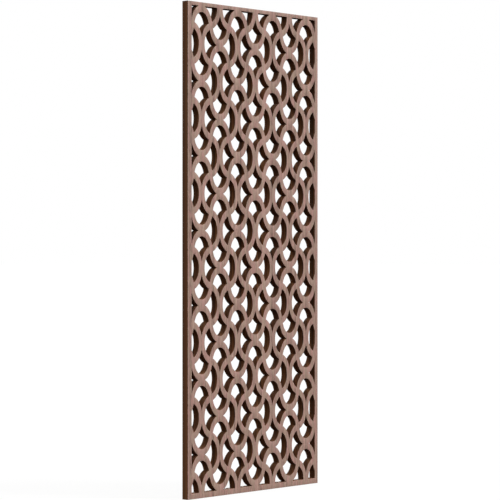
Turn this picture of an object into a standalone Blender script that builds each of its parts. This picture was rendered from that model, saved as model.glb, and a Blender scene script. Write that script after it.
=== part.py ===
# Fretwork wall panel: one wooden board, pierced right through with a field of interlaced strands
# that wave across and up the board and leave an opening between each pair of crossings.
# Metres, +Z up. The board's width lies along X, its back is the plane y = 0 that goes to the wall,
# and its front faces -Y. The origin is on the back of the bottom rail, at mid width.
import math

import bmesh
import bpy

# The board
panel_width = 0.483
panel_height = 1.219
panel_thickness = 0.019

# The plain border left around the field
left_stile = 0.0139
right_stile = 0.0115
top_rail = 0.0092
bottom_rail = 0.0139

# The field: whole columns and rows of openings, and how far the pattern runs on past them
columns = 7
rows = 13
run_on_across = 0.0027
run_on_up = 0.0006

# The strands. Each is a wave of arcs joined by short straight runs, drawn as if rows and columns had
# the same pitch and then drawn out upwards with the rows, so these are sizes across the board.
strand_width = 0.012
crest_inset = 0.004
straight_run = 0.0137

# Segments of an opening's outline, and how far the cutters stand out of the board
crest_segments = 5
flank_segments = 3
cutter_margin = 0.005

field_left = -panel_width / 2 + left_stile
field_right = panel_width / 2 - right_stile
field_bottom = bottom_rail / 2
field_top = panel_height - bottom_rail / 2 - top_rail
pitch_across = (field_right - field_left - 2 * run_on_across) / columns
pitch_up = (field_top - field_bottom - 2 * run_on_up) / rows


def point_on_arc(centre, radius, angle):
    return (centre[0] + radius * math.cos(angle), centre[1] + radius * math.sin(angle))


def opening_outline():
    """One opening, for a pitch of 1 each way. It stands on the y axis between two nodes of the field,
    its round head under the crests of two strands that meet at (0, 0) and its tail at (0, 1)."""
    half = strand_width / 2 / pitch_across
    inset = crest_inset / pitch_across
    run = straight_run / 2 / pitch_across

    # The arc under a crest, which reaches the node less the inset and is tangent to the straight run
    # through the crossing at (0.5, 0.5)
    radius = (0.5 - inset + inset ** 2 - run ** 2) / (1 - 2 * inset)
    crest_centre = radius + inset
    lean = math.atan2(crest_centre - 0.5, 0.5) + math.acos(
        radius / math.hypot(0.5, crest_centre - 0.5))
    run_x, run_y = math.sin(lean), math.cos(lean)

    # Where the two strands' edges meet: one corner of the square they share at their crossing
    tip = (0.5 - half * (run_x + run_y), 0.5 - half * (run_y - run_x))

    head = [
        point_on_arc((0, crest_centre), radius - half,
                     -lean - (math.pi - 2 * lean) * step / crest_segments)
        for step in range(1, crest_segments)
    ]

    # The flank follows the outer edge of the strand that bends round (crest_centre, 1)
    flank_radius = radius + half
    tail_lean = math.acos(crest_centre / flank_radius)
    flank_start, flank_end = -math.pi / 2 - lean, -math.pi + tail_lean
    flank = [
        point_on_arc((crest_centre, 1), flank_radius,
                     flank_start + (flank_end - flank_start) * step / flank_segments)
        for step in range(1, flank_segments)
    ]
    tail = (0, 1 - flank_radius * math.sin(tail_lean))
    other_flank = [(-x, y) for x, y in flank]
    return [(-tip[0], tip[1]), *other_flank, tail, *reversed(flank), tip, *head]


def quarter_turned(points, turns):
    """The outline turned about (0, 0) by so many quarter turns."""
    for _ in range(turns % 4):
        points = [(-y, x) for x, y in points]
    return points


def openings_of_field():
    """Every opening's outline in the board's own x and z. Nodes where crests cross lie where column
    and row add up to an even number, and there is an opening along each link between two nodes."""
    upright = opening_outline()
    first_x = field_left + run_on_across + pitch_across / 2
    top_z = field_top - run_on_up
    outlines = []

    def place(column, row, turns):
        outlines.append([
            (first_x + (column + x) * pitch_across, top_z - (row + y) * pitch_up)
            for x, y in quarter_turned(upright, turns)
        ])

    for column in range(columns):
        for row in range(rows):
            crests_above = (column + row) % 2 == 0
            place(column, row if crests_above else row + 1, 0 if crests_above else 2)
    for column in range(-1, columns):
        for row in range(rows + 1):
            crests_on_left = (column + row) % 2 == 0
            place(column + 1 if crests_on_left else column, row, 1 if crests_on_left else 3)
    return outlines


def box(name, collection, low, high):
    """A box between two opposite corners, with its mesh in place."""
    mesh = bpy.data.meshes.new(name)
    shape = bmesh.new()
    bmesh.ops.create_cube(shape, size=1)
    for vertex in shape.verts:
        vertex.co = [
            (a + b) / 2 + part * (b - a) for part, a, b in zip(vertex.co, low, high)
        ]
    shape.to_mesh(mesh)
    shape.free()
    made = bpy.data.objects.new(name, mesh)
    collection.objects.link(made)
    return made


def prisms(name, collection, outlines, depth):
    """One mesh of upright prisms with the given outlines, centred in the board's thickness."""
    curve = bpy.data.curves.new(name, "CURVE")
    curve.dimensions = "2D"
    curve.fill_mode = "BOTH"
    curve.extrude = depth / 2
    for outline in outlines:
        spline = curve.splines.new("POLY")
        spline.points.add(len(outline) - 1)
        for point, (x, z) in zip(spline.points, outline):
            point.co = (x, z, 0, 1)
        spline.use_cyclic_u = True
    drawn = bpy.data.objects.new(name, curve)
    collection.objects.link(drawn)
    drawn.location = (0, -panel_thickness / 2, 0)
    drawn.rotation_euler = (math.pi / 2, 0, 0)
    bpy.context.view_layer.update()

    solid = bpy.data.meshes.new_from_object(
        drawn.evaluated_get(bpy.context.evaluated_depsgraph_get()))
    shape = bmesh.new()
    shape.from_mesh(solid)
    bmesh.ops.remove_doubles(shape, verts=shape.verts, dist=1e-6)
    bmesh.ops.recalc_face_normals(shape, faces=shape.faces)
    shape.to_mesh(solid)
    shape.free()
    made = bpy.data.objects.new(name, solid)
    collection.objects.link(made)
    made.matrix_world = drawn.matrix_world
    bpy.data.objects.remove(drawn)
    bpy.data.curves.remove(curve)
    return made


def cut(target, cutter, operation):
    modifier = target.modifiers.new(cutter.name, "BOOLEAN")
    modifier.operation = operation
    modifier.solver = "EXACT"
    modifier.object = cutter
    cutter.hide_render = True
    cutter.display_type = "WIRE"


def oiled_wood():
    """Pinkish brown hardwood, oiled and not glossy."""
    material = bpy.data.materials.new("oiled_wood")
    material.use_nodes = True
    shader = material.node_tree.nodes["Principled BSDF"]
    shader.inputs["Base Color"].default_value = (0.30, 0.19, 0.155, 1)
    shader.inputs["Roughness"].default_value = 0.6
    shader.inputs["Metallic"].default_value = 0.0
    return material


for existing in list(bpy.data.objects):
    bpy.data.objects.remove(existing)
panel_collection = bpy.data.collections.new("fretwork_wall_panel")
cutter_collection = bpy.data.collections.new("cutters")
for collection in (panel_collection, cutter_collection):
    bpy.context.scene.collection.children.link(collection)

board_bottom = -bottom_rail / 2
board = box("fretwork_board", panel_collection,
            (-panel_width / 2, -panel_thickness, board_bottom),
            (panel_width / 2, 0, board_bottom + panel_height))
board.data.materials.append(oiled_wood())

piercing_depth = panel_thickness + 2 * cutter_margin
openings = prisms("openings", cutter_collection, openings_of_field(), piercing_depth)
field = box("field", cutter_collection,
            (field_left, -panel_thickness - 2 * cutter_margin, field_bottom),
            (field_right, 2 * cutter_margin, field_top))
cut(openings, field, "INTERSECT")
cut(board, openings, "DIFFERENCE")
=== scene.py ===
import math

import bpy
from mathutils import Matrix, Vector


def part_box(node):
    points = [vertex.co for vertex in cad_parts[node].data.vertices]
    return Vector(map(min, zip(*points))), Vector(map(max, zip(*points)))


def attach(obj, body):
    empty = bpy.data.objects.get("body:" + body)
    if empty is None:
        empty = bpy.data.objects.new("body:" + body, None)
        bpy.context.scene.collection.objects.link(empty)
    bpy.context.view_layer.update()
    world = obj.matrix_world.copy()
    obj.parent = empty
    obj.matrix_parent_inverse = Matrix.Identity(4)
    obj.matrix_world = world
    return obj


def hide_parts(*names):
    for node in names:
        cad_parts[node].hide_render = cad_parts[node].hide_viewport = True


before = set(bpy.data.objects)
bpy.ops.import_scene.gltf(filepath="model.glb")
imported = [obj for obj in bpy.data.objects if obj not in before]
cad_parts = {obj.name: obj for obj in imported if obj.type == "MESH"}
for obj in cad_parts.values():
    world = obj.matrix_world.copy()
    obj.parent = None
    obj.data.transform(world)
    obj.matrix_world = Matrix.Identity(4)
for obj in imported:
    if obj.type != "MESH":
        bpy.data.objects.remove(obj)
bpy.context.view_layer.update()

# The camera
# It stands level, half way up the panel and well to its left, with a long lens that sees the front at
# an angle, the left edge as a narrow strip and the walls of the openings on their right.
camera_data = bpy.data.cameras.new("camera")
camera_data.sensor_width = 36
camera_data.lens = 141.8
camera = bpy.data.objects.new("camera", camera_data)
camera.location = (-3.6550, -3.4039, 0.6031)
camera.rotation_euler = (math.radians(90), 0, math.radians(-47.05))
bpy.context.scene.collection.objects.link(camera)
bpy.context.scene.camera = camera

# The fretwork board
# One planed hardwood board, sawn right through along two sets of wavy strands that cross at right
# angles and were then drawn out upwards. The strands and the plain border are the same piece of wood.
# Its flat faces were sanded, its corners eased with a few strokes, and the whole was oiled.
board_low, board_high = (Vector(corner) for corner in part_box("fretwork_board"))
left_stile = 0.0139
right_stile = 0.0115
top_rail = 0.0092
bottom_rail = 0.0139
columns = 7
rows = 13
run_on_across = 0.0027
run_on_up = 0.0006
strand_width = 0.012
crest_inset = 0.004
straight_run = 0.0137
crest_steps = 23
eased_corner = 0.0006
eased_corner_steps = 2
border_corner_steps = 3
smooth_below = math.radians(18)

board_size = board_high - board_low
pitch_across = (board_size.x - left_stile - right_stile - 2 * run_on_across) / columns
pitch_up = (board_size.z - top_rail - bottom_rail - 2 * run_on_up) / rows

# A strand's crest: the radius of its middle line, and how far it bends either way from the top of the
# crest before it runs straight through the next crossing
half_pitch = pitch_across / 2
crest_radius = (pitch_across * half_pitch - crest_inset * pitch_across + crest_inset ** 2
                - (straight_run / 2) ** 2) / (pitch_across - 2 * crest_inset)
crest_centre = crest_radius + crest_inset
crest_angle = (math.pi / 2 - math.atan2(crest_centre - half_pitch, half_pitch)
               - math.acos(crest_radius / math.hypot(half_pitch, crest_centre - half_pitch)))


def node(tree, kind, inputs=(), **settings):
    """A new node with its settings, its inputs given as values, sockets to link or lists of sockets."""
    made = tree.nodes.new(kind)
    for name, value in settings.items():
        setattr(made, name, value)
    for name, values in dict(inputs).items():
        for value in values if isinstance(values, list) else [values]:
            if isinstance(value, bpy.types.NodeSocket):
                tree.links.new(value, made.inputs[name])
            else:
                made.inputs[name].default_value = value
    return made


def calc(tree, operation, *values):
    """The result of one sum."""
    return node(tree, "ShaderNodeMath", enumerate(values), operation=operation).outputs[0]


def tree_of(name, sizes, result):
    """A Geometry Nodes tree with named inputs, and its sockets to read them and to give the result."""
    tree = bpy.data.node_groups.new(name, "GeometryNodeTree")
    for size, kind in sizes.items():
        tree.interface.new_socket(size, in_out="INPUT", socket_type="NodeSocket" + kind)
    tree.interface.new_socket(result, in_out="OUTPUT", socket_type="NodeSocketGeometry")
    return (tree, tree.nodes.new("NodeGroupInput").outputs, tree.nodes.new("NodeGroupOutput").inputs[0])


# Every second strand of one set: a wave of crests that bend one way and the other by turns
waves, size, waves_result = tree_of("every_second_strand", {
    "Pitch": "Float", "First Crest": "Float", "Crests": "Int", "Strands": "Int",
    "Crest Radius": "Float", "Crest Angle": "Float", "Straight Run": "Float", "Crest Steps": "Int",
    "Strand Width": "Float", "Thickness": "Float", "Eased Corner": "Float",
    "Eased Corner Steps": "Int"}, "Strands")


def point(tree, **parts):
    return node(tree, "ShaderNodeCombineXYZ", parts).outputs[0]


radius = size["Crest Radius"]
angle = size["Crest Angle"]
half_run = calc(waves, "MULTIPLY", size["Straight Run"], 0.5)
half_length = calc(waves, "MULTIPLY_ADD", radius, angle, half_run)
straight = node(waves, "GeometryNodeMeshLine", {
    "Count": size["Crest Steps"],
    "Start Location": point(waves, X=calc(waves, "MULTIPLY", half_length, -1.0)),
    "Offset": point(waves, X=half_length)}, mode="END_POINTS").outputs[0]
along = node(waves, "ShaderNodeSeparateXYZ", {
    0: node(waves, "GeometryNodeInputPosition").outputs[0]}).outputs["X"]
turned = node(waves, "ShaderNodeClamp", {
    "Value": calc(waves, "DIVIDE", along, radius),
    "Min": calc(waves, "MULTIPLY", angle, -1.0), "Max": angle}).outputs[0]
past = calc(waves, "SUBTRACT", along, calc(waves, "MULTIPLY", turned, radius))
sine = calc(waves, "SINE", turned)
cosine = calc(waves, "COSINE", turned)
foot = calc(waves, "SUBTRACT", calc(waves, "MULTIPLY", radius, calc(waves, "COSINE", angle)),
            calc(waves, "MULTIPLY", half_run, calc(waves, "SINE", angle)))
crest = node(waves, "GeometryNodeSetPosition", {
    "Geometry": straight,
    "Position": point(
        waves,
        X=calc(waves, "MULTIPLY_ADD", radius, sine, calc(waves, "MULTIPLY", past, cosine)),
        Y=calc(waves, "SUBTRACT", calc(waves, "SUBTRACT", calc(waves, "MULTIPLY", radius, cosine),
                                       calc(waves, "MULTIPLY", past, sine)), foot))}).outputs[0]
crest_places = node(waves, "GeometryNodeMeshLine", {
    "Count": size["Crests"],
    "Start Location": point(waves, X=size["First Crest"],
                            Y=calc(waves, "MULTIPLY", size["Pitch"], -0.5)),
    "Offset": point(waves, X=size["Pitch"])}).outputs[0]
half_turns = calc(waves, "FLOORED_MODULO", node(waves, "GeometryNodeInputIndex").outputs[0], 2.0)
crests = node(waves, "GeometryNodeInstanceOnPoints", {
    "Points": crest_places,
    "Instance": crest,
    "Rotation": node(waves, "FunctionNodeEulerToRotation", {
        0: point(waves, Z=calc(waves, "MULTIPLY", half_turns, math.pi))}).outputs[0]}).outputs[0]
middle_line = node(waves, "GeometryNodeMergeByDistance", {
    "Geometry": node(waves, "GeometryNodeRealizeInstances", {0: crests}).outputs[0],
    "Distance": 1e-5}).outputs[0]
middle_line = node(waves, "GeometryNodeSetCurveNormal", {
    0: node(waves, "GeometryNodeMeshToCurve", {0: middle_line}).outputs[0]}, mode="Z_UP").outputs[0]
section = node(waves, "GeometryNodeCurvePrimitiveQuadrilateral", {
    "Width": size["Strand Width"], "Height": size["Thickness"]}).outputs[0]
section = node(waves, "GeometryNodeFilletCurve", {
    "Curve": section, "Radius": size["Eased Corner"],
    "Count": size["Eased Corner Steps"]}, mode="POLY").outputs[0]
strand = node(waves, "GeometryNodeCurveToMesh", {
    "Curve": middle_line, "Profile Curve": section, "Fill Caps": True}).outputs[0]
strand_places = node(waves, "GeometryNodeMeshLine", {
    "Count": size["Strands"],
    "Start Location": point(waves, Y=calc(waves, "MULTIPLY", size["Pitch"], 2.0)),
    "Offset": point(waves, Y=calc(waves, "MULTIPLY", size["Pitch"], -2.0))}).outputs[0]
strands = node(waves, "GeometryNodeInstanceOnPoints", {
    "Points": strand_places, "Instance": strand}).outputs[0]
waves.links.new(node(waves, "GeometryNodeRealizeInstances", {0: strands}).outputs[0], waves_result)

# One bar of the border, with its long corners and its ends eased
bar, bar_size, bar_result = tree_of("border_bar", {
    "Low": "Vector", "High": "Vector", "Eased Corner": "Float"}, "Bar")


def vector_calc(tree, operation, *values):
    return node(tree, "ShaderNodeVectorMath", enumerate(values), operation=operation).outputs[0]


bar_reach = vector_calc(bar, "SUBTRACT", bar_size["High"], bar_size["Low"])
bar_middle = vector_calc(bar, "MULTIPLY", vector_calc(bar, "ADD", bar_size["High"], bar_size["Low"]),
                         (0.5, 0.5, 0.5))
bar_layers = []
for step in range(border_corner_steps + 1):
    turn = math.radians(90 / border_corner_steps * step)
    inwards = 2 * (1 - math.cos(turn))
    down = 2 * (1 - math.sin(turn))
    eased = point(bar, X=calc(bar, "MULTIPLY", bar_size["Eased Corner"], inwards),
                  Y=calc(bar, "MULTIPLY", bar_size["Eased Corner"], inwards),
                  Z=calc(bar, "MULTIPLY", bar_size["Eased Corner"], down))
    bar_layers.append(node(bar, "GeometryNodeMeshCube", {
        "Size": vector_calc(bar, "SUBTRACT", bar_reach, eased)}).outputs[0])
bar_hull = node(bar, "GeometryNodeConvexHull", {
    0: node(bar, "GeometryNodeJoinGeometry", {0: bar_layers}).outputs[0]}).outputs[0]
bar.links.new(node(bar, "GeometryNodeTransform", {
    "Geometry": bar_hull, "Translation": bar_middle}).outputs[0], bar_result)

# The whole board, drawn lying flat with its first node at the origin, then stood up in its place
fretwork, part, fretwork_result = tree_of("fretwork", {
    "Thickness": "Float", "Left Stile": "Float", "Right Stile": "Float", "Top Rail": "Float",
    "Bottom Rail": "Float", "Columns": "Int", "Rows": "Int", "Pitch Across": "Float",
    "Pitch Up": "Float", "Run On Across": "Float", "Run On Up": "Float", "Strand Width": "Float",
    "Crest Radius": "Float", "Crest Angle": "Float", "Straight Run": "Float", "Crest Steps": "Int",
    "Eased Corner": "Float", "Eased Corner Steps": "Int", "Top Left Corner": "Vector",
    "Wood": "Material"}, "Board")


def strand_set(first_crest, crests, strands, turned_by, moved):
    """Every second strand one way, turned and moved by whole pitches, and drawn out upwards."""
    pitch = part["Pitch Across"]
    made = node(fretwork, "GeometryNodeGroup", node_tree=waves)
    for name in ("Crest Radius", "Crest Angle", "Straight Run", "Crest Steps", "Strand Width",
                 "Thickness", "Eased Corner", "Eased Corner Steps"):
        fretwork.links.new(part[name], made.inputs[name])
    fretwork.links.new(pitch, made.inputs["Pitch"])
    fretwork.links.new(calc(fretwork, "MULTIPLY", pitch, first_crest), made.inputs["First Crest"])
    fretwork.links.new(crests, made.inputs["Crests"])
    fretwork.links.new(strands, made.inputs["Strands"])
    placed = node(fretwork, "GeometryNodeTransform", {
        "Geometry": made.outputs[0], "Rotation": (0, 0, turned_by),
        "Translation": vector_calc(fretwork, "MULTIPLY", point(fretwork, X=pitch, Y=pitch), moved)})
    stretch = point(fretwork, X=1.0, Y=calc(fretwork, "DIVIDE", part["Pitch Up"], pitch), Z=1.0)
    return node(fretwork, "GeometryNodeTransform", {
        "Geometry": placed.outputs[0], "Scale": stretch}).outputs[0]


def solid(operation, *solids):
    """The solids united into one, or the part that they share."""
    return node(fretwork, "GeometryNodeMeshBoolean", {"Mesh 2": list(solids)},
                operation=operation, solver="MANIFOLD").outputs[0]


def total(*values):
    made = values[0]
    for value in values[1:]:
        made = calc(fretwork, "ADD", made, value)
    return made


# The strands run on past the field on every side, and are trimmed to the middle of the border
crests_across = total(part["Columns"], 4)
crests_up = total(part["Rows"], 5)
pairs_up = total(calc(fretwork, "FLOOR", calc(fretwork, "DIVIDE", part["Rows"], 2.0)), 3)
pairs_across = total(calc(fretwork, "FLOOR", calc(fretwork, "DIVIDE", part["Columns"], 2.0)), 3)
first_crest_up = total(calc(fretwork, "MULTIPLY", pairs_up, -2.0), 4)
interlaced = solid("UNION",
                   strand_set(-2.0, crests_across, pairs_up, 0, (0, 0, 0)),
                   strand_set(-2.0, crests_across, pairs_up, 0, (1, -1, 0)),
                   strand_set(first_crest_up, crests_up, pairs_across, math.pi / 2, (0, -1, 0)),
                   strand_set(first_crest_up, crests_up, pairs_across, math.pi / 2, (1, 0, 0)))

field_left = calc(fretwork, "MULTIPLY", total(part["Run On Across"], calc(
    fretwork, "MULTIPLY", part["Pitch Across"], 0.5)), -1.0)
field_right = total(field_left, calc(fretwork, "MULTIPLY", part["Pitch Across"], part["Columns"]),
                    part["Run On Across"], part["Run On Across"])
field_top = part["Run On Up"]
field_bottom = calc(fretwork, "MULTIPLY", total(part["Run On Up"], calc(
    fretwork, "MULTIPLY", part["Pitch Up"], part["Rows"])), -1.0)
board_left = calc(fretwork, "SUBTRACT", field_left, part["Left Stile"])
board_right = total(field_right, part["Right Stile"])
board_top = total(field_top, part["Top Rail"])
board_bottom = calc(fretwork, "SUBTRACT", field_bottom, part["Bottom Rail"])
front = calc(fretwork, "MULTIPLY", part["Thickness"], 0.5)
back = calc(fretwork, "MULTIPLY", part["Thickness"], -0.5)


def border_bar(left, right, bottom, top):
    return node(fretwork, "GeometryNodeGroup", {
        "Low": point(fretwork, X=left, Y=bottom, Z=back),
        "High": point(fretwork, X=right, Y=top, Z=front),
        "Eased Corner": part["Eased Corner"]}, node_tree=bar).outputs[0]


def halfway(one, other):
    return calc(fretwork, "MULTIPLY", total(one, other), 0.5)


left_middle = halfway(board_left, field_left)
right_middle = halfway(board_right, field_right)
bottom_middle = halfway(board_bottom, field_bottom)
top_middle = halfway(board_top, field_top)
trim = node(fretwork, "GeometryNodeGroup", {
    "Low": point(fretwork, X=left_middle, Y=bottom_middle, Z=-1.0),
    "High": point(fretwork, X=right_middle, Y=top_middle, Z=1.0),
    "Eased Corner": 0.0}, node_tree=bar).outputs[0]
flat_board = solid("UNION", solid("INTERSECT", interlaced, trim),
                   border_bar(board_left, field_left, board_bottom, board_top),
                   border_bar(field_right, board_right, board_bottom, board_top),
                   border_bar(left_middle, right_middle, board_bottom, field_bottom),
                   border_bar(left_middle, right_middle, field_top, board_top))
to_corner = node(fretwork, "GeometryNodeTransform", {
    "Geometry": flat_board,
    "Translation": vector_calc(fretwork, "MULTIPLY", point(fretwork, X=board_left, Y=board_top, Z=front),
                               (-1.0, -1.0, -1.0))}).outputs[0]
stood_up = node(fretwork, "GeometryNodeTransform", {
    "Geometry": to_corner, "Rotation": (math.pi / 2, 0, 0),
    "Translation": part["Top Left Corner"]}).outputs[0]
realized = node(fretwork, "GeometryNodeRealizeInstances", {0: stood_up}).outputs[0]
fretwork.links.new(node(fretwork, "GeometryNodeSetMaterial", {
    "Geometry": realized, "Material": part["Wood"]}).outputs[0], fretwork_result)

# Its wood, a brown hardwood sawn straight up the trunk, so that its growth layers cross the
# board at a slant and show as upright streaks on every face that runs up it. Fibres and open pores
# follow them. The front and back faces carry a painted sheen: a pale reflection of the lamps painted
# into their colour makes them paler and pinker than the sawn edges and the walls of the openings, which
# show the wood's darker, browner colour.
# The face colours below hold a painted sheen: each is the brown wood lightened by a painted pale
# reflection of the lamps. The sawn colours are the wood without it.
late_wood = (0.131, 0.074, 0.057)
early_wood = (0.431, 0.266, 0.215)
ring_line = (0.179, 0.098, 0.073)
pink_wood = (0.366, 0.177, 0.158)
tan_wood = (0.284, 0.204, 0.142)
pale_fibre = (0.449, 0.312, 0.261)
open_pore = (0.110, 0.056, 0.042)
sawn_late_wood = (0.055, 0.029, 0.011)
sawn_early_wood = (0.234, 0.093, 0.026)
sawn_ring_line = (0.095, 0.023, 0.008)
sawn_fibre = (0.052, 0.020, 0.008)
past_middle_of_trunk = (0.5545, -0.5, 0)

wood = bpy.data.materials.new("oiled_wood")
wood.use_nodes = True
grain = wood.node_tree
wood_shader = grain.nodes["Principled BSDF"]
place = node(grain, "ShaderNodeTexCoord").outputs["Object"]


def noise(scale, source=place, **inputs):
    """Noise with so many changes to the metre across the board, through it and up it."""
    scaled = node(grain, "ShaderNodeMapping", {"Vector": source, "Scale": scale}).outputs[0]
    return node(grain, "ShaderNodeTexNoise", {"Vector": scaled, "Scale": 1.0, **{
        name.title(): value for name, value in inputs.items()}}).outputs[0]


def between(value, low, high, to_low=0.0, to_high=1.0):
    return node(grain, "ShaderNodeMapRange", {
        0: value, 1: low, 2: high, 3: to_low, 4: to_high}, clamp=True).outputs[0]


def mixed(amount, one, other):
    made = node(grain, "ShaderNodeMix", {0: amount}, data_type="RGBA")
    for name, colour in ((6, one), (7, other)):
        if isinstance(colour, bpy.types.NodeSocket):
            grain.links.new(colour, made.inputs[name])
        else:
            made.inputs[name].default_value = (*colour, 1)
    return made.outputs[2]


# How far a place is from the middle of the trunk, which lay behind the board and to its left, with a
# slow wander of a millimetre or two as the layers climb
heart = node(grain, "ShaderNodeMapping", {
    "Vector": place, "Location": past_middle_of_trunk}).outputs[0]
heart_parts = node(grain, "ShaderNodeSeparateXYZ", {0: heart}).outputs
from_heart = calc(grain, "SQRT", calc(
    grain, "ADD", calc(grain, "MULTIPLY", heart_parts["X"], heart_parts["X"]),
    calc(grain, "MULTIPLY", heart_parts["Y"], heart_parts["Y"])))
wander = calc(grain, "MULTIPLY", noise((4, 4, 1.5)), 0.003)
layers = point(grain, X=calc(grain, "ADD", from_heart, wander), Z=heart_parts["Z"])

season = noise((200, 1, 0.4), layers, detail=1.0, roughness=0.5)
ring = noise((560, 1, 0.9), layers, detail=2.0, roughness=0.6)
tint = noise((110, 110, 28), detail=2.0, roughness=0.5)
fibre = noise((1400, 1400, 30), detail=3.0, roughness=0.65)
pore = noise((2600, 2600, 90), detail=0.0)

face_colour_with_painted_sheen = mixed(between(season, 0.34, 0.66), late_wood, early_wood)
face_colour_with_painted_sheen = mixed(between(ring, 0.38, 0.66, 0.0, 0.55), face_colour_with_painted_sheen, ring_line)
face_colour_with_painted_sheen = mixed(between(tint, 0.50, 0.62, 0.0, 0.6), face_colour_with_painted_sheen, pink_wood)
face_colour_with_painted_sheen = mixed(between(tint, 0.50, 0.38, 0.0, 0.6), face_colour_with_painted_sheen, tan_wood)
face_colour_with_painted_sheen = mixed(between(fibre, 0.38, 0.66, 0.0, 0.5), face_colour_with_painted_sheen, pale_fibre)
face_colour_with_painted_sheen = mixed(between(pore, 0.62, 0.70, 0.0, 0.6), face_colour_with_painted_sheen, open_pore)

sawn_colour = mixed(between(season, 0.36, 0.64), sawn_late_wood, sawn_early_wood)
sawn_colour = mixed(between(ring, 0.40, 0.62, 0.0, 0.7), sawn_colour, sawn_ring_line)
sawn_colour = mixed(between(fibre, 0.38, 0.70, 0.0, 0.5), sawn_colour, sawn_fibre)

# How far a place faces away from the front and the back, and so is a sawn edge or wall that shows the
# wood's own brown rather than the painted sheen of the faces
facing = node(grain, "ShaderNodeSeparateXYZ", {
    0: node(grain, "ShaderNodeTexCoord").outputs["Normal"]}).outputs["Y"]
sawn = between(calc(grain, "ABSOLUTE", facing), 0.5, 0.95, 1.0, 0.0)
# The faces get the colours with the painted sheen, the sawn edges and walls the plain brown wood
grain.links.new(mixed(sawn, face_colour_with_painted_sheen, sawn_colour), wood_shader.inputs["Base Color"])
satin = between(fibre, 0.3, 0.7, 0.50, 0.64)
grain.links.new(calc(grain, "MULTIPLY_ADD", sawn, 0.25, satin), wood_shader.inputs["Roughness"])
wood_shader.inputs["Specular IOR Level"].default_value = 0.25
relief = calc(grain, "SUBTRACT", calc(grain, "MULTIPLY", fibre, 0.5), between(pore, 0.62, 0.74))
bump = node(grain, "ShaderNodeBump", {"Height": relief, "Strength": 0.5, "Distance": 0.0001})
grain.links.new(bump.outputs[0], wood_shader.inputs["Normal"])

board = bpy.data.objects.new("board", bpy.data.meshes.new("board"))
bpy.context.scene.collection.objects.link(board)
cutting = board.modifiers.new("fretwork", "NODES")
cutting.node_group = fretwork
sizes = {
    "Thickness": board_size.y, "Left Stile": left_stile, "Right Stile": right_stile,
    "Top Rail": top_rail, "Bottom Rail": bottom_rail, "Columns": columns, "Rows": rows,
    "Pitch Across": pitch_across, "Pitch Up": pitch_up, "Run On Across": run_on_across,
    "Run On Up": run_on_up, "Strand Width": strand_width, "Crest Radius": crest_radius,
    "Crest Angle": crest_angle, "Straight Run": straight_run, "Crest Steps": crest_steps,
    "Eased Corner": eased_corner, "Eased Corner Steps": eased_corner_steps,
    "Top Left Corner": (board_low.x, board_low.y, board_high.z), "Wood": wood}
for socket in fretwork.interface.items_tree:
    if socket.in_out == "INPUT":
        cutting[socket.identifier] = sizes[socket.name]
finished = bpy.data.meshes.new_from_object(
    board.evaluated_get(bpy.context.evaluated_depsgraph_get()))
board.modifiers.remove(cutting)
board.data = finished
finished.shade_smooth()
finished.set_sharp_from_angle(angle=smooth_below)
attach(board, "root")
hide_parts("fretwork_board")

# The floor
# A plain pale floor, level with the panel's lower edge. It glows a little, so that it is as white as
# the studio behind it, and throws no light back on the panel.
floor_reach = 60
floor_corners = [(x * floor_reach, y * floor_reach, board_low.z)
                 for x, y in ((-1, -1), (1, -1), (1, 1), (-1, 1))]
floor_mesh = bpy.data.meshes.new("floor")
floor_mesh.from_pydata(floor_corners, [], [(0, 1, 2, 3)])
floor = bpy.data.objects.new("floor", floor_mesh)
bpy.context.scene.collection.objects.link(floor)
floor_material = bpy.data.materials.new("pale_floor")
floor_material.use_nodes = True
floor_shader = floor_material.node_tree.nodes["Principled BSDF"]
floor_shader.inputs["Base Color"].default_value = (0.08, 0.08, 0.08, 1)
floor_shader.inputs["Roughness"].default_value = 0.9
floor_shader.inputs["Specular IOR Level"].default_value = 0.0
floor_shader.inputs["Emission Color"].default_value = (1, 1, 1, 1)
floor_shader.inputs["Emission Strength"].default_value = 0.9
floor_mesh.materials.append(floor_material)
floor.visible_diffuse = False
floor.visible_glossy = False

# The light
# A plain white studio. One large soft lamp far off, high up in front of the panel and to its right,
# lights the front alike from top to bottom. Others light the left edge and the back. The rest is the
# glow of the studio, which is faint below and grows towards the ceiling.
glow_below = 0.03
glow_above = 0.82
lamp_spread = math.radians(25)

studio = bpy.data.worlds.new("studio")
studio.use_nodes = True
bpy.context.scene.world = studio
studio_tree = studio.node_tree
height = node(studio_tree, "ShaderNodeSeparateXYZ", {
    0: node(studio_tree, "ShaderNodeTexCoord").outputs["Generated"]}).outputs["Z"]
strength = node(studio_tree, "ShaderNodeMapRange", {
    0: height, 1: -0.3, 2: 0.8, 3: glow_below, 4: glow_above}).outputs[0]
glow = node(studio_tree, "ShaderNodeBackground", {"Color": (1, 0.99, 0.97, 1), "Strength": strength})
seen = studio_tree.nodes["Background"]
seen.inputs["Color"].default_value = (1, 1, 1, 1)
seen.inputs["Strength"].default_value = 1.0
picked = node(studio_tree, "ShaderNodeMixShader", {
    0: node(studio_tree, "ShaderNodeLightPath").outputs["Is Camera Ray"],
    1: glow.outputs[0], 2: seen.outputs[0]})
studio_tree.links.new(picked.outputs[0], studio_tree.nodes["World Output"].inputs["Surface"])


def lamp(name, position, strength):
    """A soft lamp so far off that it lights the whole panel alike, shining past the origin."""
    data = bpy.data.lights.new(name, "SUN")
    data.angle = lamp_spread
    data.energy = strength
    made = bpy.data.objects.new(name, data)
    made.location = position
    made.rotation_euler = (-Vector(position)).to_track_quat("-Z", "Y").to_euler()
    bpy.context.scene.collection.objects.link(made)


lamp("key_lamp", (2.2, -3.2, 2.6), 3.74)
lamp("side_lamp", (-3.0, 0.0, 1.6), 0.95)
lamp("back_lamp", (2.2, 3.4, 0.5), 2.4)
bpy.context.scene.view_settings.view_transform = "Standard"
